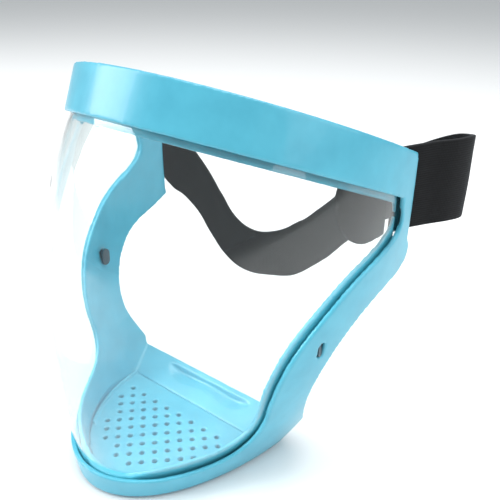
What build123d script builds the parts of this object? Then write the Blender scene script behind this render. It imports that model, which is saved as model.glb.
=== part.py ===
"""Full-face splash shield: moulded frame, clear wrap-round visor, vented chin cup and head strap.

X is across the face (+X is the wearer's left), the face looks along -Y and +Z is up.
The origin is in the flat underside of the chin cup, on the plane of symmetry.
"""

import os
from math import atan2, cos, degrees, hypot, radians, sin, sqrt

from build123d import *

# ---- driving dimensions, mm and degrees -------------------------------------------------
FAN_Y = 363.0  # every section plane of the shell turns about this line, behind the head
FLOOR_TOP = 4.0  # top of the vented floor above the table
TEMPLE_REACH = 320.0  # from the fan line to the widest section, at the temples
BROW_TILT = 22.9  # the brow plane, up from level
CHIN_HALF_WIDTH, BROW_HALF_WIDTH = 53.0, 84.0
CHIN_DEPTH, BROW_DEPTH, BULGE = 101.0, 107.5, 11.5
SECTION_TILTS = (-0.8, 2.5, 6.0, 10.0, 14.5, 19.0, BROW_TILT)

VISOR_THICKNESS = 1.0
GROOVE = 0.9  # half of the groove that takes the visor's edge
WALL = 2.2  # moulded wall thickness
OUTER_FACE = GROOVE + WALL
INNER_FACE = -GROOVE - WALL
BAND_HEIGHT = 21.0
INNER_RIM_DROP = 3.0  # the inner rim shows this far below the outer brow band
TEMPLE_Y = 67.7  # rear end of the brow band
CLOSING_LIP = 2.0  # the bezel's lip over the top of the visor and the inner rim

CUP_HALF_WIDTH, CUP_REACH, CUP_REAR_Y = 46.0, 62.4, 9.7  # the vented floor's outline
CUP_REAR_WALL_Y = 22.0
LEDGE_TOP, LEDGE_WIDTH = 1.6, 4.0  # the vent plate rests on this ledge
PLATE_PLAY = 0.15  # gap round the vent plate
BEAD_WIDTH, BEAD_HEIGHT = 2.2, 1.2
HOLE_STEP, HOLE_RADIUS = 4.49, 1.3  # half diagonal of the vent holes' square lattice
HOLE_ROWS, HOLE_COLUMNS = 10, 9  # rows forward of the rear one, and columns to each side
HOLE_ROW_Y = -1.6  # the rear row of holes
HOLE_FIELD_X, HOLE_FIELD_Y = 40.0, 53.5  # half axes of the field of holes

STRAP_WIDTH, STRAP_THICKNESS = 40.0, 2.4
STRAP_Z = 134.0  # middle of the strap where it passes the temples
STRAP_LOW, STRAP_HIGH = STRAP_Z - STRAP_WIDTH / 2, STRAP_Z + STRAP_WIDTH / 2
TONGUE_X, TONGUE_Y = -83.75, 69.3  # the strap's fixed end, held in the groove at the right temple
TONGUE_THICKNESS, TONGUE_LENGTH, TONGUE_LOW, TONGUE_HEIGHT = 1.3, 12.4, 112.5, 35.0
PAD_THICKNESS, PAD_GAP = 0.6, 0.3  # hook-and-loop pads
LOOP_FACE = INNER_FACE  # outer faces of the two pads and of the tab, as offsets from the skin
HOOK_FACE = LOOP_FACE - PAD_THICKNESS - PAD_GAP
TAB_FACE = HOOK_FACE - PAD_THICKNESS
TAB_FRONT_Y, TAB_REAR_Y = 24.5, 56.5

CLIP_Y, CLIP_Z = 12.8, 72.2  # snap clip that ties the bezel to the rear frame
CLIP_LENGTH, CLIP_WIDTH = 7.4, 3.0
CLIP_HEAD, CLIP_HEAD_GROW, CLIP_HEAD_DEPTH = 1.2, 1.2, 2.0  # inner head: thickness, rim and stand-off
CLIP_RECESS, CLIP_PLAY = 0.7, 0.3

SIDE_REACH = 110.0  # half length of the cutters that run across the face
PROFILE_TOP, PROFILE_FRONT = 150.0, -90.0  # side profiles run up and forward past the shell to here

os.makedirs("parts", exist_ok=True)


# ---- the common skin --------------------------------------------------------------------
def half_width(tilt):
    """Half of the shell's width at the temples' line, in a section plane."""
    share = tilt / BROW_TILT
    return BROW_HALF_WIDTH - (BROW_HALF_WIDTH - CHIN_HALF_WIDTH) * (1 - share) ** 2.4


def depth(tilt):
    """How far forward of the temples' line the shell reaches in a section plane."""
    share = tilt / BROW_TILT
    swell = 4 * max(share, 0) ** 1.3 * (1 - share)
    return CHIN_DEPTH + (BROW_DEPTH - CHIN_DEPTH) * share + BULGE * swell


def skin_x(y, z, offset=0.0):
    """Half width of the skin, moved outwards by offset, at a height and a depth."""
    tilt = degrees(atan2(z - FLOOR_TOP, FAN_Y - y))
    forward = max(hypot(z - FLOOR_TOP, FAN_Y - y) - TEMPLE_REACH, 0.0)
    return (half_width(tilt) + offset) * sqrt(1 - (forward / (depth(tilt) + offset)) ** 2)


def fan_plane(tilt, lift=0.0):
    """Section plane: local X is across, local Y is forward of the fan line, the normal is down."""
    a = radians(tilt)
    plane = Plane(origin=(0, FAN_Y, FLOOR_TOP), x_dir=(1, 0, 0), z_dir=(0, -sin(a), -cos(a)))
    return plane.offset(-lift)


def arch(plane, centre, half, reach, tail):
    """Closed outline on a plane: half an ellipse in front and a straight tail behind."""
    with BuildSketch(plane) as outline:
        with BuildLine():
            EllipticalCenterArc((0, centre), half, reach, start_angle=0, arc_size=180)
            Polyline((-half, centre), (-half, centre - tail), (half, centre - tail), (half, centre))
        make_face()
    return outline.sketch


def section(tilt, offset, lift=0.0, tail=42.0):
    """Section of the skin, moved outwards by offset."""
    plane = fan_plane(tilt, lift)
    return arch(plane, TEMPLE_REACH, half_width(tilt) + offset, depth(tilt) + offset, tail)


def skin(offset):
    """Solid inside the skin, moved outwards by offset, from the base to the brow plane."""
    with BuildPart() as body:
        loft([section(tilt, offset) for tilt in SECTION_TILTS])
    return body.part


def band_ring(outer, inner, low, high):
    """Upright ring of the brow band, between two offsets and two heights over the brow plane."""
    with BuildPart() as ring:
        extrude(section(BROW_TILT, outer, low, tail=14.0), amount=low - high)
        extrude(section(BROW_TILT, inner, low, tail=14.0), amount=low - high, mode=Mode.SUBTRACT)
        split(bisect_by=Plane.XZ.offset(-TEMPLE_Y), keep=Keep.TOP)
    return ring.part


# level section plane at the table
LEVEL = Plane(origin=(0, FAN_Y, 0), x_dir=(1, 0, 0), z_dir=(0, 0, -1))


def floor_outline(height, grow):
    """Outline of the vented floor at a height, moved outwards by grow."""
    plane = LEVEL.offset(-height)
    tail = 0.01 + max(grow, 0)
    return arch(plane, FAN_Y - CUP_REAR_Y, CUP_HALF_WIDTH + grow, CUP_REACH + grow, tail)


# ---- side profiles, Y then Z ------------------------------------------------------------
FRONT_EDGE = [
    (58.0, 128.0), (57.5, 118.0), (50.0, 112.3), (30.0, 103.3), (12.0, 90.0), (0.7, 77.4),
    (-5.8, 62.6), (-7.8, 46.0), (-8.4, 30.0), (-14.0, 20.5), (-28.0, 15.0), (-46.0, 13.0),
]
OUTER_REAR_EDGE = [
    (26.0, 16.4), (20.5, 26.0), (16.8, 36.0), (15.8, 46.0), (18.0, 57.0), (27.0, 73.0),
    (42.0, 85.0), (58.0, 91.0), (68.0, 96.0), (71.0, 102.0), (TEMPLE_Y, 110.0),
]
INNER_REAR_EDGE = [
    (27.4, 16.4), (23.8, 26.0), (21.0, 36.0), (20.9, 46.2), (26.6, 62.3), (40.6, 76.3),
    (60.4, 83.5), (75.6, 89.4),
]


def shifted(points, dy, dz):
    """The same edge moved in the side view."""
    return [(y + dy, z + dz) for y, z in points]


def edge_band(front, rear, bottom_z, lip_z, corner_y):
    """Side-view face between a front edge and a rear edge, with the chin lip running forward."""
    with BuildSketch(Plane.YZ) as face:
        with BuildLine():
            Polyline((front[0][0], PROFILE_TOP), front[0])
            Spline(front)
            Polyline(
                front[-1], (PROFILE_FRONT, lip_z), (PROFILE_FRONT, bottom_z), (corner_y, bottom_z), rear[0]
            )
            Spline(rear)
            Polyline(rear[-1], (rear[-1][0], PROFILE_TOP), (front[0][0], PROFILE_TOP))
        make_face()
    return face.sketch


def clip_prism(grow, low, high):
    """Upright rounded bar through the left arm, at the snap clip, between two distances from the middle."""
    with BuildPart() as prism:
        with BuildSketch(Plane.YZ.offset(low)):
            with Locations((CLIP_Y, CLIP_Z)):
                SlotOverall(CLIP_LENGTH + 2 * grow, CLIP_WIDTH + 2 * grow, rotation=90)
        extrude(amount=high - low)
    return prism.part


def both_sides(part):
    """A left-hand piece and its mirror image."""
    return [part, mirror(part, about=Plane.YZ)]


def slab_between(y_low, y_high):
    """Left half of space between two depths, from below the arms to above the brow band."""
    with BuildPart() as slab:
        with BuildSketch(Plane.YZ) as face:
            with Locations(((y_low + y_high) / 2, STRAP_Z)):
                Rectangle(y_high - y_low, 2 * PROFILE_TOP)
        extrude(amount=SIDE_REACH)
    return slab.part


CLIP_X = skin_x(CLIP_Y, CLIP_Z)
strap_gate = Pos(80.4, 67.7, 141) * Box(9.0, 18.6, 58.0)  # way for the strap at the left temple


# ---- front bezel: brow band, arm covers and chin lip in one moulding ---------------------
with BuildPart() as front_bezel:
    add(skin(OUTER_FACE))
    add(skin(GROOVE), mode=Mode.SUBTRACT)
    extrude(
        edge_band(FRONT_EDGE, OUTER_REAR_EDGE, 1.2, 12.5, 18.4), SIDE_REACH, both=True,
        mode=Mode.INTERSECT,
    )
    add(band_ring(OUTER_FACE, GROOVE, 0.0, BAND_HEIGHT))
    add(band_ring(OUTER_FACE, INNER_FACE, BAND_HEIGHT - CLOSING_LIP, BAND_HEIGHT))
    add(strap_gate, mode=Mode.SUBTRACT)
    add(both_sides(clip_prism(CLIP_PLAY, 60, 90)), mode=Mode.SUBTRACT)

front_bezel.part.label = "front_bezel"
export_step(front_bezel.part, "parts/front_bezel.step")


# ---- rear frame: inner rim, arms with ear flanges, and the chin cup -----------------------
# each edge follows the arms' front edge and then goes its own way under the chin
ARM_FRONT = FRONT_EDGE[:-3]
INNER_FRONT_EDGE = shifted(ARM_FRONT, -1.3, 1.3) + [(-16.0, 24.5), (-34.0, 20.0), (-52.0, 12.0)]
VISOR_EDGE = shifted(ARM_FRONT, 3.4, -3.4) + [(-10.0, 14.0), (-28.0, 8.5), (-46.0, 6.0)]
GROOVE_FLOOR = shifted(ARM_FRONT, 4.0, -4.0) + [(-9.0, 12.5), (-28.0, 6.5), (-46.0, 4.0)]

SADDLE_EDGE = [(0, 8.2), (26, 8.6), (38, 16.5), (49, 23.5), (54.5, 40)]  # top of the rear lip, X then Z

with BuildPart() as cup_hollow:
    loft([floor_outline(FLOOR_TOP, 0.3), section(5.4, INNER_FACE, tail=18.0)], ruled=True)

with BuildPart() as saddle:
    with BuildSketch(Plane.XZ.offset(-CUP_REAR_WALL_Y - 1)):
        with BuildLine():
            Spline([(-x, z) for x, z in SADDLE_EDGE[:0:-1]] + SADDLE_EDGE)
            Line((-54.5, 40), (54.5, 40))
        make_face()
    extrude(amount=24)

with BuildPart() as front_trough:
    extrude(section(0.0, -GROOVE), amount=LEDGE_TOP - FLOOR_TOP - 0.6, both=True)
    extrude(floor_outline(0.0, 1.2), amount=-20, mode=Mode.SUBTRACT)
    with BuildSketch(Plane.XY.offset(LEDGE_TOP)):
        with Locations((0, -70)):
            Rectangle(58, 60)
    extrude(amount=20, mode=Mode.INTERSECT)

with BuildPart() as cup:
    add(skin(-GROOVE))
    with BuildSketch(Plane.YZ):
        with BuildLine():
            Polyline(
                (PROFILE_FRONT, 0), (CUP_REAR_WALL_Y - 1.6, 0), (CUP_REAR_WALL_Y, 1.6), (27.4, 16.4),
                (23.8, 30), (PROFILE_FRONT, 30), (PROFILE_FRONT, 0),
            )
        make_face()
    extrude(amount=SIDE_REACH, both=True, mode=Mode.INTERSECT)
    add(cup_hollow.part, mode=Mode.SUBTRACT)
    add(saddle.part, mode=Mode.SUBTRACT)

with BuildPart() as groove_filler:
    add(skin(GROOVE))
    add(skin(-GROOVE), mode=Mode.SUBTRACT)
    extrude(
        edge_band(GROOVE_FLOOR, shifted(OUTER_REAR_EDGE, -1.0, 0), 1.2, 4.0, 17.4), SIDE_REACH,
        both=True, mode=Mode.INTERSECT,
    )
    split(bisect_by=Plane.XY.offset(108), keep=Keep.BOTTOM)

with BuildPart() as rear_frame:
    add(skin(-GROOVE))
    add(skin(INNER_FACE), mode=Mode.SUBTRACT)
    add(cup.part)
    extrude(
        edge_band(INNER_FRONT_EDGE, INNER_REAR_EDGE, 0.0, 4.4, CUP_REAR_WALL_Y), SIDE_REACH,
        both=True, mode=Mode.INTERSECT,
    )
    add(groove_filler.part)
    add(front_trough.part, mode=Mode.SUBTRACT)
    extrude(floor_outline(LEDGE_TOP, 0.0), amount=-6, mode=Mode.SUBTRACT)
    extrude(floor_outline(-1.0, -LEDGE_WIDTH), amount=-6, mode=Mode.SUBTRACT)
    add(band_ring(-GROOVE, INNER_FACE, -INNER_RIM_DROP, BAND_HEIGHT - CLOSING_LIP))
    add(strap_gate, mode=Mode.SUBTRACT)
    add(both_sides(clip_prism(0.0, 60, 90)), mode=Mode.SUBTRACT)

rear_frame.part.label = "rear_frame"
export_step(rear_frame.part, "parts/rear_frame.step")

# ---- visor ---------------------------------------------------------------------------------
with BuildPart() as visor:
    add(skin(VISOR_THICKNESS / 2))
    add(skin(-VISOR_THICKNESS / 2), mode=Mode.SUBTRACT)
    with BuildSketch(Plane.YZ):
        with BuildLine():
            Polyline((VISOR_EDGE[0][0], PROFILE_TOP), VISOR_EDGE[0])
            Spline(VISOR_EDGE)
            Polyline(
                VISOR_EDGE[-1], (PROFILE_FRONT, 5.4), (PROFILE_FRONT, 2 * PROFILE_TOP),
                (VISOR_EDGE[0][0], 2 * PROFILE_TOP), (VISOR_EDGE[0][0], PROFILE_TOP),
            )
        make_face()
    extrude(amount=SIDE_REACH, both=True, mode=Mode.INTERSECT)
    add(band_ring(VISOR_THICKNESS / 2, -VISOR_THICKNESS / 2, 0.0, BAND_HEIGHT - 2.6))
    split(bisect_by=Plane.XZ.offset(-VISOR_EDGE[0][0]), keep=Keep.TOP)

visor.part.label = "visor"
export_step(visor.part, "parts/visor.step")

# ---- vent plate ------------------------------------------------------------------------------
hole_spots = [
    (i * HOLE_STEP, HOLE_ROW_Y - j * HOLE_STEP)
    for j in range(HOLE_ROWS)
    for i in range(-HOLE_COLUMNS, HOLE_COLUMNS + 1)
    if (i + j) % 2 == 0
    and hypot(i * HOLE_STEP / HOLE_FIELD_X, (CUP_REAR_Y - HOLE_ROW_Y + j * HOLE_STEP) / HOLE_FIELD_Y) < 1
]
with BuildPart() as vent_plate:
    extrude(floor_outline(LEDGE_TOP, -PLATE_PLAY), amount=LEDGE_TOP - FLOOR_TOP)
    extrude(floor_outline(0.0, -LEDGE_WIDTH - PLATE_PLAY), amount=-LEDGE_TOP)
    extrude(floor_outline(FLOOR_TOP, -PLATE_PLAY), amount=-BEAD_HEIGHT)
    extrude(floor_outline(FLOOR_TOP, -BEAD_WIDTH), amount=-BEAD_HEIGHT, mode=Mode.SUBTRACT)
    with BuildSketch(Plane.XY.offset(FLOOR_TOP)):
        with Locations((0, -60)):
            Rectangle(120, 50)
    extrude(amount=BEAD_HEIGHT, mode=Mode.SUBTRACT)
    with Locations(*[(x, y, FLOOR_TOP) for x, y in hole_spots]):
        Hole(HOLE_RADIUS)

vent_plate.part.label = "vent_plate"
export_step(vent_plate.part, "parts/vent_plate.step")


# ---- snap clips ------------------------------------------------------------------------------
with BuildPart() as clip_left:
    head_x = CLIP_X + INNER_FACE - CLIP_HEAD_DEPTH
    add(clip_prism(0.0, head_x - CLIP_HEAD, CLIP_X + OUTER_FACE - CLIP_RECESS))
    add(clip_prism(CLIP_HEAD_GROW, head_x - CLIP_HEAD, head_x))

clip_left.part.label = "clip_left"
export_step(clip_left.part, "parts/clip_left.step")
with BuildPart() as clip_right:
    mirror(clip_left.part, about=Plane.YZ)
clip_right.part.label = "clip_right"
export_step(clip_right.part, "parts/clip_right.step")


# ---- strap -----------------------------------------------------------------------------------
def ribbon(route, thickness, low, high):
    """Upright ribbon along a level route of points, between two heights."""
    with BuildPart() as band:
        with BuildSketch(Plane.XY.offset(low)):
            with BuildLine() as path:
                Spline(route)
            trace(line_width=thickness)
        extrude(amount=high - low)
    return band.part


with BuildPart() as strap_end_right:
    with BuildSketch(Plane.XY.offset(TONGUE_LOW)):
        with Locations((TONGUE_X, TONGUE_Y)):
            Rectangle(TONGUE_THICKNESS, TONGUE_LENGTH)
    extrude(amount=TONGUE_HEIGHT)

strap_end_right.part.label = "strap_end_right"
export_step(strap_end_right.part, "parts/strap_end_right.step")

GATE_ROUTE = [(86.2, 76.0), (84.9, 72.5), (81.9, 66.0), (79.8, 61.5), (78.0, 58.2)]
with BuildPart() as strap_end_left:
    add(ribbon(GATE_ROUTE, STRAP_THICKNESS, STRAP_LOW, STRAP_HIGH))

strap_end_left.part.label = "strap_end_left"
export_step(strap_end_left.part, "parts/strap_end_left.step")

with BuildPart() as strap_tab:
    add(band_ring(TAB_FACE, TAB_FACE - STRAP_THICKNESS, -30.0, 30.0))
    with BuildSketch(Plane.YZ):
        with Locations((TAB_FRONT_Y + STRAP_WIDTH, STRAP_Z)):
            SlotOverall(2 * STRAP_WIDTH, STRAP_WIDTH)
    extrude(amount=SIDE_REACH, mode=Mode.INTERSECT)
    add(slab_between(TAB_FRONT_Y - 5, TAB_REAR_Y), mode=Mode.INTERSECT)

strap_tab.part.label = "strap_tab"
export_step(strap_tab.part, "parts/strap_tab.step")

with BuildPart() as loop_pad:
    add(band_ring(LOOP_FACE, LOOP_FACE - PAD_THICKNESS, 3.0, 17.0))
    add(slab_between(29.0, 55.0), mode=Mode.INTERSECT)

loop_pad.part.label = "loop_pad"
export_step(loop_pad.part, "parts/loop_pad.step")

with BuildPart() as hook_pad:
    add(band_ring(HOOK_FACE, HOOK_FACE - PAD_THICKNESS, 3.0, 14.0))
    add(slab_between(30.0, 54.0), mode=Mode.INTERSECT)
    split(bisect_by=Plane.XY.offset(STRAP_HIGH), keep=Keep.BOTTOM)

hook_pad.part.label = "hook_pad"
export_step(hook_pad.part, "parts/hook_pad.step")

# stations of the hanging loop from the right temple round to the left: X, Y, lower Z, upper Z
LOOP = [
    (-86.0, 76.5, 103, 143), (-86.0, 84, 91, 133), (-78, 90, 84, 124), (-70, 94, 74, 113),
    (-63, 98, 60, 101), (-56, 101.5, 47, 87), (-46, 105, 37, 71), (-34, 109, 33, 64),
    (-19, 111.5, 35, 67), (-5, 112.5, 39, 76), (9, 113, 50, 88), (22, 112.5, 63, 101),
    (34, 112, 77, 114), (50, 112.5, 92, 129), (68, 114, 103, 141), (84, 114.5, 109, 149),
    (94, 110, 112, 152), (98, 101, 113, 154), (95.5, 90, 114, 154.5), (89.2, 77.5, 114, 154.5),
]


def station(index):
    """Cross-section of the hanging loop at one of its stations."""
    before, here, after = LOOP[max(index - 1, 0)], LOOP[index], LOOP[min(index + 1, len(LOOP) - 1)]
    across = Vector(before[1] - after[1], after[0] - before[0], 0)
    along = Vector(after[0] - before[0], after[1] - before[1], 0)
    middle = (here[0], here[1], (here[2] + here[3]) / 2)
    with BuildSketch(Plane(origin=middle, x_dir=across, z_dir=along)) as cut:
        Rectangle(STRAP_THICKNESS, here[3] - here[2])
    return cut.sketch


with BuildPart() as head_strap:
    loft([station(i) for i in range(len(LOOP))])
head_strap.part.label = "head_strap"
export_step(head_strap.part, "parts/head_strap.step")
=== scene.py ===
"""Looks of the full-face splash shield: satin shells, clear visor, knit strap and studio.

Every length is in metres unless its name ends in MM. X is across the face, the face looks
along -Y and +Z is up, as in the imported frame.
"""
import logging
import math
from dataclasses import dataclass, field
from enum import Enum
from typing import Any, Sequence

import bmesh
import bpy
from mathutils import Euler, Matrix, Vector


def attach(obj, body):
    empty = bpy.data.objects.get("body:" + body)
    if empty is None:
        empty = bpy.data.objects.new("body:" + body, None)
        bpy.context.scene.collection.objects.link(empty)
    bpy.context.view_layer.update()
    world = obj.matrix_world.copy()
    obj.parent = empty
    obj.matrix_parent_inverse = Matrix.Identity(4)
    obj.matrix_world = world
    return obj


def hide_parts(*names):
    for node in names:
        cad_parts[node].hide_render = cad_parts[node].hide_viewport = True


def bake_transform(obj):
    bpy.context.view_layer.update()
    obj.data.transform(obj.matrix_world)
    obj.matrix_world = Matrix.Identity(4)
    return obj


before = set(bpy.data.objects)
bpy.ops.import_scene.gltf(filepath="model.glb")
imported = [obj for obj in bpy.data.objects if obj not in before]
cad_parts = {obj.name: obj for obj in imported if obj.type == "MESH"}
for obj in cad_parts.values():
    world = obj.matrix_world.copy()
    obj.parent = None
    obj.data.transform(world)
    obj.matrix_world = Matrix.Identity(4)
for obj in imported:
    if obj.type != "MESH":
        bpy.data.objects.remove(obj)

LOG = logging.getLogger("shield")
MM = 0.001
MERGE = 2e-6  # loose corners of a CAD mesh nearer than this are one
STRAP_WIDTH = 40 * MM

Point = tuple[float, float, float]
Station = tuple[float, float, float, float]


class Slot(Enum):
    """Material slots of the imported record."""

    FRAME = "frame_plastic"
    CLIP = "clip_plastic"
    SHEET = "clear_sheet"
    STRAP = "strap_fabric"
    HOOK = "hook_loop"


class Body(Enum):
    """Bodies that pieces ride on."""

    ROOT = "root"
    STRAP = "strap"
    TAB = "tab"


# ---- colour and node helpers -------------------------------------------------------------
def srgb(code: str) -> tuple[float, float, float, float]:
    """Turn an sRGB hex colour into a linear one.

    Args:
        code: Six hex digits after a hash sign.

    Returns:
        Linear red, green and blue, and an alpha of one.
    """
    shades = [int(code[i:i + 2], 16) / 255 for i in (1, 3, 5)]
    linear = [c / 12.92 if c <= 0.04045 else ((c + 0.055) / 1.055) ** 2.4 for c in shades]
    return linear[0], linear[1], linear[2], 1.0


def add_node(
    material: bpy.types.Material,
    kind: str,
    settings: dict[str, Any] | None = None,
    values: dict[str, Any] | None = None,
    links: dict[str, bpy.types.NodeSocket] | None = None,
) -> bpy.types.Node:
    """Add a shader node with its settings, socket values and links.

    Args:
        material: Material that owns the node tree.
        kind: Node type, as bpy names it.
        settings: Properties of the node itself.
        values: Values of its input sockets, by name or index.
        links: Output sockets that feed its input sockets, by name or index.

    Returns:
        The new node.
    """
    node = material.node_tree.nodes.new(kind)
    for name, value in (settings or {}).items():
        setattr(node, name, value)
    for name, value in (values or {}).items():
        node.inputs[name].default_value = value
    for name, socket in (links or {}).items():
        material.node_tree.links.new(socket, node.inputs[name])
    return node


def blank_material(name: str) -> bpy.types.Material:
    """Make an empty node material.

    Args:
        name: Name of the real finish.

    Returns:
        A material whose node tree is empty.
    """
    material = bpy.data.materials.new(name)
    material.use_nodes = True
    material.node_tree.nodes.clear()
    return material


def ramp(node: bpy.types.Node, stops: Sequence[tuple[float, str]]) -> None:
    """Set the stops of a colour ramp.

    Args:
        node: A colour ramp node.
        stops: Position and hex colour of each stop, in order.
    """
    elements = node.color_ramp.elements
    while len(elements) < len(stops):
        elements.new(0.5)
    for element, (place, code) in zip(elements, stops):
        element.position = place
        element.color = srgb(code)


# ---- finishes ----------------------------------------------------------------------------
@dataclass(frozen=True)
class MouldedPlastic:
    """Injection-moulded ABS with a fine satin skin: broad soft highlights and a faint mottle."""

    name: str
    light: str
    dark: str
    roughness: float = 0.3
    coat: float = 0.25
    mottle_mm: float = 14.0
    skin_mm: float = 0.9
    skin_depth: float = 0.03 * MM

    def build(self) -> bpy.types.Material:
        """Make the material.

        Returns:
            The finished material.
        """
        m = blank_material(self.name)
        place = add_node(m, "ShaderNodeTexCoord")
        mottle = add_node(
            m, "ShaderNodeTexNoise",
            values={"Scale": 1 / (self.mottle_mm * MM), "Detail": 3.0, "Roughness": 0.55},
            links={"Vector": place.outputs["Object"]},
        )
        colour = add_node(m, "ShaderNodeValToRGB", links={"Fac": mottle.outputs["Fac"]})
        ramp(colour, [(0.3, self.dark), (0.7, self.light)])
        # mould skin, drawn a little coarser than the real spark-eroded one so that it shows
        skin = add_node(
            m, "ShaderNodeTexNoise",
            values={"Scale": 1 / (self.skin_mm * MM), "Detail": 2.0},
            links={"Vector": place.outputs["Object"]},
        )
        bump = add_node(
            m, "ShaderNodeBump",
            values={"Strength": 0.25, "Distance": self.skin_depth},
            links={"Height": skin.outputs["Fac"]},
        )
        gloss = add_node(
            m, "ShaderNodeMapRange",
            values={"To Min": self.roughness - 0.04, "To Max": self.roughness + 0.05},
            links={"Value": mottle.outputs["Fac"]},
        )
        surface = add_node(
            m, "ShaderNodeBsdfPrincipled",
            values={"IOR": 1.53, "Coat Weight": self.coat, "Coat Roughness": 0.12},
            links={
                "Base Color": colour.outputs["Color"],
                "Roughness": gloss.outputs["Result"],
                "Normal": bump.outputs["Normal"],
            },
        )
        add_node(m, "ShaderNodeOutputMaterial", links={"Surface": surface.outputs["BSDF"]})
        return m


@dataclass(frozen=True)
class ClearSheet:
    """Polished polycarbonate sheet: see-through, with sharp reflections and a grey-green edge."""

    name: str = "polished polycarbonate sheet"
    tint: str = "#F6FBFB"
    wave_mm: float = 38.0

    def build(self) -> bpy.types.Material:
        """Make the material, which lets lamps shine through it.

        Returns:
            The finished material.
        """
        m = blank_material(self.name)
        place = add_node(m, "ShaderNodeTexCoord")
        # long shallow waves of the rolled sheet, a fifth of its length
        wave = add_node(
            m, "ShaderNodeTexNoise",
            values={"Scale": 1 / (self.wave_mm * MM), "Detail": 1.0},
            links={"Vector": place.outputs["Object"]},
        )
        bump = add_node(
            m, "ShaderNodeBump",
            values={"Strength": 0.12, "Distance": 0.3 * MM},
            links={"Height": wave.outputs["Fac"]},
        )
        glass = add_node(
            m, "ShaderNodeBsdfPrincipled",
            values={
                "Base Color": srgb(self.tint), "IOR": 1.5, "Roughness": 0.02,
                "Transmission Weight": 1.0,
            },
            links={"Normal": bump.outputs["Normal"]},
        )
        clear = add_node(m, "ShaderNodeBsdfTransparent", values={"Color": srgb(self.tint)})
        path = add_node(m, "ShaderNodeLightPath")
        both = add_node(
            m, "ShaderNodeMixShader",
            links={0: path.outputs["Is Shadow Ray"], 1: glass.outputs["BSDF"], 2: clear.outputs["BSDF"]},
        )
        add_node(m, "ShaderNodeOutputMaterial", links={"Surface": both.outputs["Shader"]})
        return m


@dataclass(frozen=True)
class KnitFabric:
    """Knit polyester laminated to foam: matt black with a soft sheen and a fine rib."""

    name: str
    yarn: str
    hollow_shade: str
    rib_mm: float = 1.1
    course_mm: float = 0.9
    fluff_mm: float = 2.6
    depth: float = 0.12 * MM
    roughness: float = 0.82

    def build(self) -> bpy.types.Material:
        """Make the material. Its rib follows the piece's own UV map, which is in metres.

        Returns:
            The finished material.
        """
        m = blank_material(self.name)
        place = add_node(m, "ShaderNodeTexCoord")
        # ribs and courses of the knit, drawn about twice as coarse as real so that they show;
        # a Wave texture's bands are about pi / 10 apart at a Scale of one
        ribs = add_node(
            m, "ShaderNodeTexWave",
            settings={"wave_type": "BANDS", "bands_direction": "Y"},
            values={"Scale": 1 / (math.pi * self.rib_mm * MM), "Distortion": 0.4},
            links={"Vector": place.outputs["UV"]},
        )
        courses = add_node(
            m, "ShaderNodeTexWave",
            settings={"wave_type": "BANDS", "bands_direction": "X"},
            values={"Scale": 1 / (math.pi * self.course_mm * MM), "Distortion": 0.6},
            links={"Vector": place.outputs["UV"]},
        )
        fluff = add_node(
            m, "ShaderNodeTexNoise",
            values={"Scale": 1 / (self.fluff_mm * MM), "Detail": 5.0, "Roughness": 0.7},
            links={"Vector": place.outputs["Object"]},
        )
        loops = add_node(
            m, "ShaderNodeMath", settings={"operation": "MULTIPLY"},
            links={0: ribs.outputs["Fac"], 1: courses.outputs["Fac"]},
        )
        height = add_node(
            m, "ShaderNodeMath", settings={"operation": "ADD"},
            links={0: loops.outputs["Value"], 1: fluff.outputs["Fac"]},
        )
        # the hollows of the knit are painted darker than the yarn tops: painted shade; the fluff noise in
        # the height also varies the tone at random
        colour = add_node(m, "ShaderNodeValToRGB", links={"Fac": height.outputs["Value"]})
        ramp(colour, [(0.3, self.hollow_shade), (1.0, self.yarn)])
        bump = add_node(
            m, "ShaderNodeBump",
            values={"Strength": 0.6, "Distance": self.depth},
            links={"Height": height.outputs["Value"]},
        )
        surface = add_node(
            m, "ShaderNodeBsdfPrincipled",
            values={
                "Roughness": self.roughness, "IOR": 1.45, "Specular IOR Level": 0.25,
                "Sheen Weight": 0.25, "Sheen Roughness": 0.4, "Sheen Tint": srgb("#8C9096"),
            },
            links={"Base Color": colour.outputs["Color"], "Normal": bump.outputs["Normal"]},
        )
        add_node(m, "ShaderNodeOutputMaterial", links={"Surface": surface.outputs["BSDF"]})
        return m


@dataclass(frozen=True)
class StudioPaper:
    """Seamless white paper under the shield."""

    name: str = "seamless white paper"
    shade: str = "#F4F5F5"

    def build(self) -> bpy.types.Material:
        """Make the material.

        Returns:
            The finished material.
        """
        m = blank_material(self.name)
        surface = add_node(
            m, "ShaderNodeBsdfPrincipled",
            values={"Base Color": srgb(self.shade), "Roughness": 0.9, "Specular IOR Level": 0.1},
        )
        add_node(m, "ShaderNodeOutputMaterial", links={"Surface": surface.outputs["BSDF"]})
        return m


# ---- mesh helpers ------------------------------------------------------------------------
def new_object(name: str, mesh: bpy.types.Mesh) -> bpy.types.Object:
    """Put a mesh in the scene as an object at the origin.

    Args:
        name: Name of the piece.
        mesh: Its mesh, in the row frame.

    Returns:
        The linked object.
    """
    piece = bpy.data.objects.new(name, mesh)
    bpy.context.scene.collection.objects.link(piece)
    return piece


def settle(piece: bpy.types.Object) -> None:
    """Apply a piece's modifiers and shade it smooth.

    Args:
        piece: The piece, whose modifiers are removed.
    """
    graph = bpy.context.evaluated_depsgraph_get()
    graph.update()
    mesh = bpy.data.meshes.new_from_object(piece.evaluated_get(graph))
    piece.modifiers.clear()
    piece.data = mesh
    mesh.shade_smooth()


def dress(piece: bpy.types.Object, material: bpy.types.Material) -> None:
    """Give a piece one material on all its faces.

    Args:
        piece: The piece or CAD node.
        material: Its finish.
    """
    if not piece.material_slots:
        piece.data.materials.append(material)
    for place in piece.material_slots:
        place.link = "OBJECT"
        place.material = material


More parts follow.
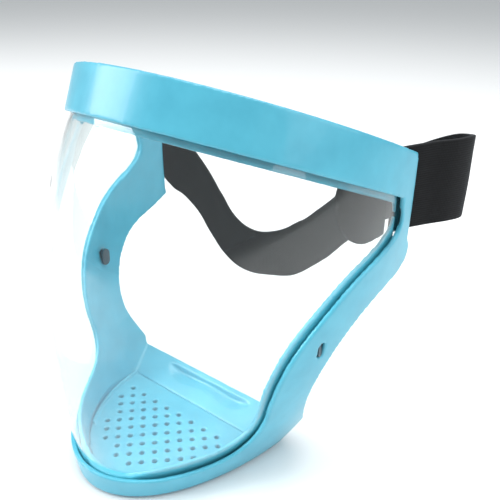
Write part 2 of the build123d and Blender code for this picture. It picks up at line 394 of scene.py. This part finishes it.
def merged_copy(node: str, name: str) -> bpy.types.Object:
    """Copy a CAD node's mesh into a new piece with its doubles merged.

    Args:
        node: Name of the CAD node.
        name: Name of the new piece.

    Returns:
        The new piece, closed and at the origin.
    """
    mesh = bpy.data.meshes.new(name)
    shape = bmesh.new()
    shape.from_mesh(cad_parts[node].data)
    bmesh.ops.remove_doubles(shape, verts=shape.verts, dist=MERGE)
    shape.to_mesh(mesh)
    shape.free()
    return new_object(name, mesh)


def smooth_path(points: Sequence[Sequence[float]], share: float) -> list[float]:
    """Read a smooth curve through evenly numbered points.

    Args:
        points: Points of any dimension.
        share: Place along them, from 0 at the first to 1 at the last.

    Returns:
        The point on the curve.
    """
    along = share * (len(points) - 1)
    k = min(int(along), len(points) - 2)
    t = along - k
    a, b, c, d = (points[min(max(k + i, 0), len(points) - 1)] for i in (-1, 0, 1, 2))
    return [
        0.5 * (2 * q + (r - p) * t + (2 * p - 5 * q + 4 * r - s) * t ** 2 + (3 * q - p - 3 * r + s) * t ** 3)
        for p, q, r, s in zip(a, b, c, d)
    ]


# ---- sub-assemblies ----------------------------------------------------------------------
@dataclass
class MouldedShell:
    """One moulding of the frame, with the rounded edges that its mould gives it."""

    node: str
    finish: bpy.types.Material
    slot: Slot = Slot.FRAME
    grain: float = 0.75 * MM
    easing: int = 5
    crispness: float = 0.5

    def build(self) -> bpy.types.Object:
        """Make the moulding from its CAD node and let it replace that node.

        Returns:
            The finished piece.
        """
        piece = merged_copy(self.node, f"{self.node}_moulding")
        skin = piece.modifiers.new("Skin", "REMESH")
        skin.mode = "VOXEL"
        skin.voxel_size = self.grain
        ease = piece.modifiers.new("Eased edges", "SMOOTH")
        ease.factor = self.crispness
        ease.iterations = self.easing
        settle(piece)
        dress(piece, self.finish)
        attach(piece, Body.ROOT.value)
        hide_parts(self.node)
        return piece


@dataclass
class Visor:
    """The clear wrap-round sheet."""

    finish: bpy.types.Material
    sharp_from: float = math.radians(35)

    def build(self) -> bpy.types.Object:
        """Make the sheet from its CAD node and let it replace that node.

        Returns:
            The finished piece.
        """
        piece = merged_copy("visor", "visor_sheet")
        piece.data.shade_smooth()
        shape = bmesh.new()
        shape.from_mesh(piece.data)
        for edge in shape.edges:
            edge.smooth = edge.calc_face_angle(0.0) < self.sharp_from
        shape.to_mesh(piece.data)
        shape.free()
        dress(piece, self.finish)
        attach(piece, Body.ROOT.value)
        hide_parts("visor")
        return piece


@dataclass
class SmallParts:
    """Snap clips and hook-and-loop pads, which keep their CAD shape."""

    clip: bpy.types.Material
    pad: bpy.types.Material
    edge: float = 0.35 * MM

    def build(self) -> list[bpy.types.Object]:
        """Dress the small CAD nodes and round the clips' edges.

        Returns:
            The pieces.
        """
        pieces = []
        for node in ("clip_left", "clip_right"):
            piece = merged_copy(node, f"{node}_snap")
            bevel = piece.modifiers.new("Eased edges", "BEVEL")
            bevel.width, bevel.segments = self.edge, 3
            bevel.limit_method, bevel.angle_limit = "ANGLE", math.radians(40)
            settle(piece)
            dress(piece, self.clip)
            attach(piece, Body.ROOT.value)
            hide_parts(node)
            pieces.append(piece)
        for node in ("loop_pad", "hook_pad"):
            dress(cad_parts[node], self.pad)
            pieces.append(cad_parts[node])
        return pieces


@dataclass
class Ribbon:
    """A padded knit ribbon that follows stations of X, Y, lower Z and upper Z, in mm."""

    name: str
    stations: Sequence[Station]
    finish: bpy.types.Material
    width: float = STRAP_WIDTH
    thickness: float = 2.4 * MM
    roll: float = 0.42  # share of the thickness that each edge is rounded by
    steps: int = 180
    rows: int = 14
    glance: float = 0.004  # share of the run looked ahead and behind for its direction
    wrinkle: float = 0.0
    wrinkle_waves: Point = (47.0, 6.3, 19.0)  # along the run, up it, and their slant

    def length(self) -> float:
        """Measure the ribbon's middle line.

        Returns:
            Its length, in metres.
        """
        line = [smooth_path(self.stations, i / self.steps) for i in range(self.steps + 1)]
        middle = [Vector((x, y, (low + high) / 2)) * MM for x, y, low, high in line]
        return sum((b - a).length for a, b in zip(middle, middle[1:]))

    def place(self, u: float, v: float) -> Vector:
        """Point of the ribbon's middle surface.

        Args:
            u: Share of the way along it.
            v: Share of the way up it.

        Returns:
            The point, in metres.
        """
        x, y, low, high = smooth_path(self.stations, u)
        ahead = smooth_path(self.stations, min(u + self.glance, 1))
        behind = smooth_path(self.stations, max(u - self.glance, 0))
        across = Vector((behind[1] - ahead[1], ahead[0] - behind[0], 0)).normalized()
        along, up, slant = self.wrinkle_waves
        puff = self.wrinkle * math.sin(u * along) * math.sin(v * up + u * slant) * math.sin(math.pi * u)
        return Vector((x, y, low + (high - low) * v)) * MM + across * puff

    def build(self) -> bpy.types.Object:
        """Make the ribbon as a sheet, bend it to its path and give it its padding.

        Returns:
            The finished piece, which rides on nothing yet.
        """
        mesh = bpy.data.meshes.new(self.name)
        sheet = bmesh.new()
        bmesh.ops.create_grid(sheet, x_segments=self.steps, y_segments=self.rows, size=0.5, calc_uvs=True)
        long = self.length()
        uv = sheet.loops.layers.uv.verify()
        for face in sheet.faces:
            for corner in face.loops:
                corner[uv].uv = ((corner.vert.co.x + 0.5) * long, (corner.vert.co.y + 0.5) * self.width)
        for vert in sheet.verts:
            u, v = vert.co.x + 0.5, vert.co.y + 0.5
            vert.co = self.place(u, v)
        bmesh.ops.recalc_face_normals(sheet, faces=sheet.faces)
        sheet.to_mesh(mesh)
        sheet.free()
        piece = new_object(self.name, mesh)
        pad = piece.modifiers.new("Padding", "SOLIDIFY")
        pad.thickness, pad.offset = self.thickness, 0.0
        edge = piece.modifiers.new("Rolled edge", "BEVEL")
        edge.width, edge.segments = self.thickness * self.roll, 3
        edge.limit_method, edge.angle_limit = "ANGLE", math.radians(60)
        settle(piece)
        dress(piece, self.finish)
        return piece


# The hanging strap, from the right temple round to the left one and in through its gate:
# X, Y, lower Z and upper Z, mm.
STRAP_RUN = [
    (-83.8, 64.5, 113, 147), (-84.6, 72, 107, 146), (-86.0, 78, 101, 141), (-84.6, 85, 90, 132),
    (-78, 90, 84, 124), (-70, 94, 74, 113), (-63, 98, 60, 101), (-56, 101.5, 47, 87),
    (-46, 105, 37, 71), (-34, 109, 33, 64), (-19, 111.5, 35, 67), (-5, 112.5, 39, 76),
    (9, 113, 50, 88), (22, 112.5, 63, 101), (34, 112, 77, 114), (50, 112.5, 92, 129),
    (68, 114, 103, 141), (84, 114.5, 109, 149), (94, 110, 112, 152), (98, 101, 113, 154),
    (95.5, 90, 114, 154.5), (89.0, 79.5, 114, 154.5), (85.4, 73, 114, 154.2), (81.9, 66, 114, 154),
    (79.6, 60, 114, 154),
]


@dataclass
class HeadStrap:
    """The head strap with both ends, and the tab that closes it inside the left temple."""

    finish: bpy.types.Material
    tab_grain: float = 0.5 * MM

    def build_loop(self) -> bpy.types.Object:
        """Make the hanging loop, whose path runs from temple to temple.

        Returns:
            The finished piece.
        """
        ribbon = Ribbon("head_strap_knit", STRAP_RUN, self.finish, wrinkle=0.25 * MM)
        piece = ribbon.build()
        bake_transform(piece)
        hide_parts("head_strap", "strap_end_left", "strap_end_right")
        return piece

    def build_tab(self) -> bpy.types.Object:
        """Make the rounded free end from its CAD node.

        Returns:
            The finished piece.
        """
        piece = merged_copy("strap_tab", "strap_tab_knit")
        skin = piece.modifiers.new("Skin", "REMESH")
        skin.mode, skin.voxel_size = "VOXEL", self.tab_grain
        ease = piece.modifiers.new("Rolled edge", "SMOOTH")
        ease.factor, ease.iterations = 0.5, 8
        settle(piece)
        dress(piece, self.finish)
        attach(piece, Body.TAB.value)
        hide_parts("strap_tab")
        return piece


@dataclass
class Studio:
    """White paper floor, softboxes and camera."""

    paper: bpy.types.Material
    camera_place: Point = (0.1870, -0.1861, 0.2339)
    camera_turn: Point = (63.44, -0.75, 37.63)
    focal_mm: float = 44.6
    sensor_mm: float = 36.0
    middle: Point = (0, 0.02, 0.09)  # where the softboxes point
    floor_half: float = 5.0
    floor_drop: float = 0.2 * MM  # keeps the paper clear of the cup's flat underside
    surround: str = "#EEF3F6"
    surround_strength: float = 0.55
    softboxes: Sequence[tuple[str, Point, float, float]] = field(default_factory=lambda: [
        ("top softbox", (0.05, 0.15, 1.25), 1.3, 16.0),
        ("left softbox", (-0.95, -0.75, 0.75), 0.9, 14.0),
        ("right fill", (0.95, 0.1, 0.6), 0.8, 3.0),
    ])

    def build(self) -> None:
        """Make the floor, lights, surroundings and camera."""
        floor = bpy.data.meshes.new("paper_floor")
        shape = bmesh.new()
        bmesh.ops.create_grid(shape, x_segments=1, y_segments=1, size=self.floor_half)
        bmesh.ops.translate(shape, verts=shape.verts, vec=(0, 0, -self.floor_drop))
        shape.to_mesh(floor)
        shape.free()
        paper = new_object("paper_floor", floor)
        dress(paper, self.paper)
        target = Vector(self.middle)
        for name, place, size, power in self.softboxes:
            lamp = bpy.data.lights.new(name, "AREA")
            lamp.size, lamp.energy = size, power
            box = bpy.data.objects.new(name, lamp)
            box.location = place
            box.rotation_euler = (target - Vector(place)).to_track_quat("-Z", "Y").to_euler()
            bpy.context.scene.collection.objects.link(box)
        world = bpy.data.worlds.new("studio")
        world.use_nodes = True
        background = world.node_tree.nodes["Background"]
        background.inputs["Color"].default_value = srgb(self.surround)
        background.inputs["Strength"].default_value = self.surround_strength
        bpy.context.scene.world = world
        lens = bpy.data.cameras.new("camera")
        lens.lens, lens.sensor_width = self.focal_mm, self.sensor_mm
        lens.clip_start, lens.clip_end = 0.01, 20.0
        camera = bpy.data.objects.new("camera", lens)
        camera.location = self.camera_place
        camera.rotation_euler = Euler([math.radians(a) for a in self.camera_turn])
        bpy.context.scene.collection.objects.link(camera)
        bpy.context.scene.camera = camera
        bpy.context.scene.view_settings.view_transform = "Standard"


def main() -> None:
    """Build every sub-assembly in order and keep the model's sizes."""
    logging.basicConfig(level=logging.INFO, format="%(name)s: %(message)s")
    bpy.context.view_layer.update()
    teal = MouldedPlastic("satin moulded ABS, teal", light="#52B4CC", dark="#49A8C1").build()
    # the snap clips are coloured dark as painted shade of the deep slot they sit in
    clip = MouldedPlastic("moulded nylon, painted slot shade", light="#16414F", dark="#123644", roughness=0.4).build()
    knit = KnitFabric("foam-backed polyester knit, black", yarn="#17181A", hollow_shade="#0A0A0B").build()
    hooks = KnitFabric(
        "nylon hook-and-loop tape, black", yarn="#1E1F21", hollow_shade="#08080A", rib_mm=1.6,
    ).build()
    pieces = [
        MouldedShell("front_bezel", teal, grain=0.7 * MM).build(),
        MouldedShell("rear_frame", teal, grain=0.78 * MM).build(),
        MouldedShell("vent_plate", teal, grain=0.45 * MM, easing=4).build(),
        Visor(ClearSheet().build()).build(),
        *SmallParts(clip, hooks).build(),
    ]
    strap = HeadStrap(knit)
    pieces += [strap.build_loop(), strap.build_tab()]
    for piece in pieces:
        LOG.info("%s: %d faces", piece.name, len(piece.data.polygons))
    Studio(StudioPaper().build()).build()


if __name__ == "__main__":
    main()
